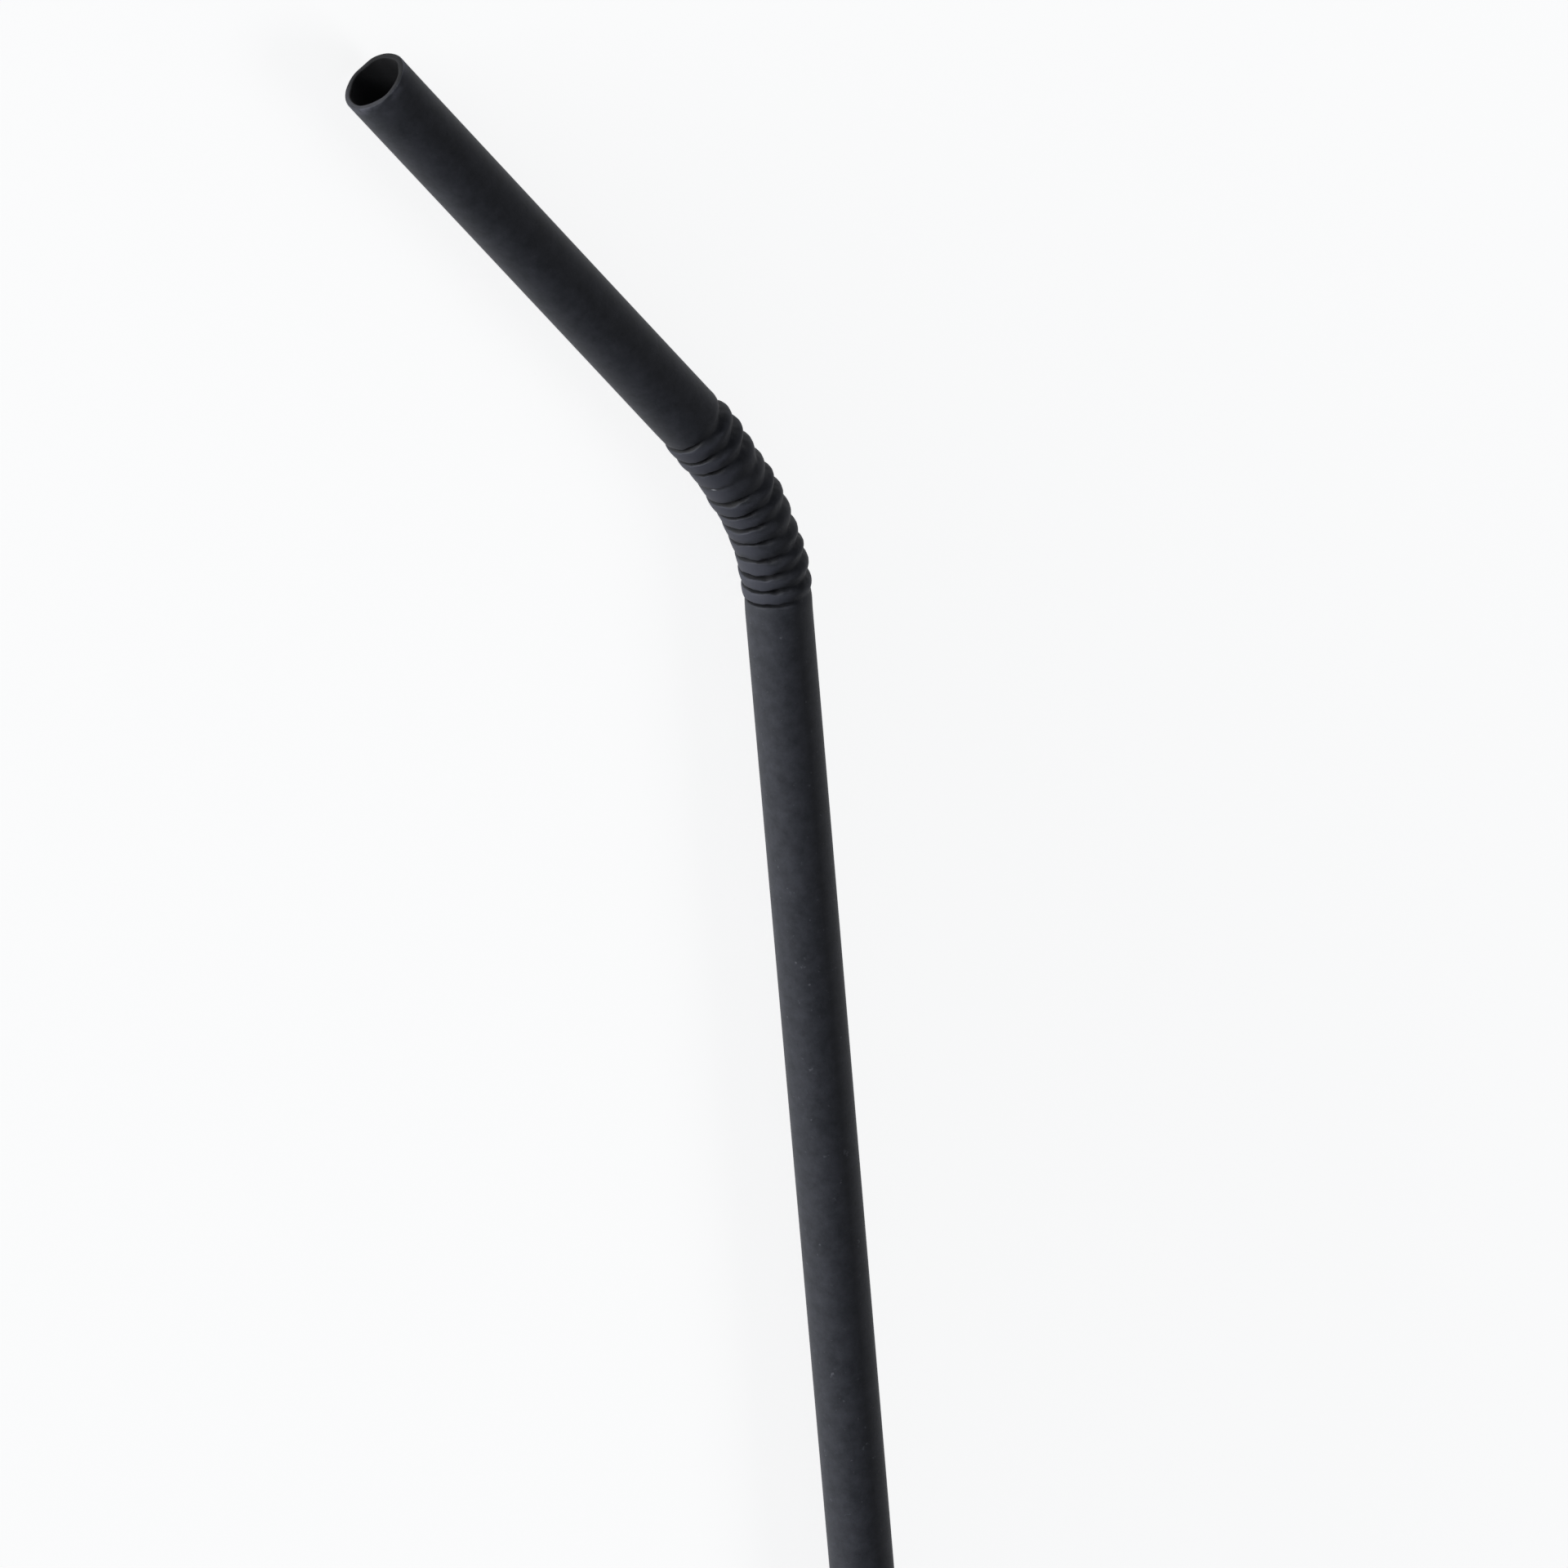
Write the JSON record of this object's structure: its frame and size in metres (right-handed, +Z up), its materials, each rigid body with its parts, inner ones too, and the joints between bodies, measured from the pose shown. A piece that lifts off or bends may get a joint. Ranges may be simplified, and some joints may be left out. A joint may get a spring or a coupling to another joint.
{
  "type": "bendy paper drinking straw",
  "caption": "Dark wound-paper drinking straw, lying bent: a long straight stem, a short corrugated stretch that turns it, and a straight arm with an open mouth.",
  "frame": {"origin": "on the ground under the middle of the straw's footprint, as it lies on its side", "axes": "+X along the stem from the foot towards the bend, +Y the side that the arm bends to, +Z up from the ground"},
  "size_m": [0.2008, 0.0406, 0.0063],
  "materials": {
    "paper": "matte charcoal-black wound paper"
  },
  "bodies": {
    "root": {"straw": "paper"}
  },
  "joints": []
}
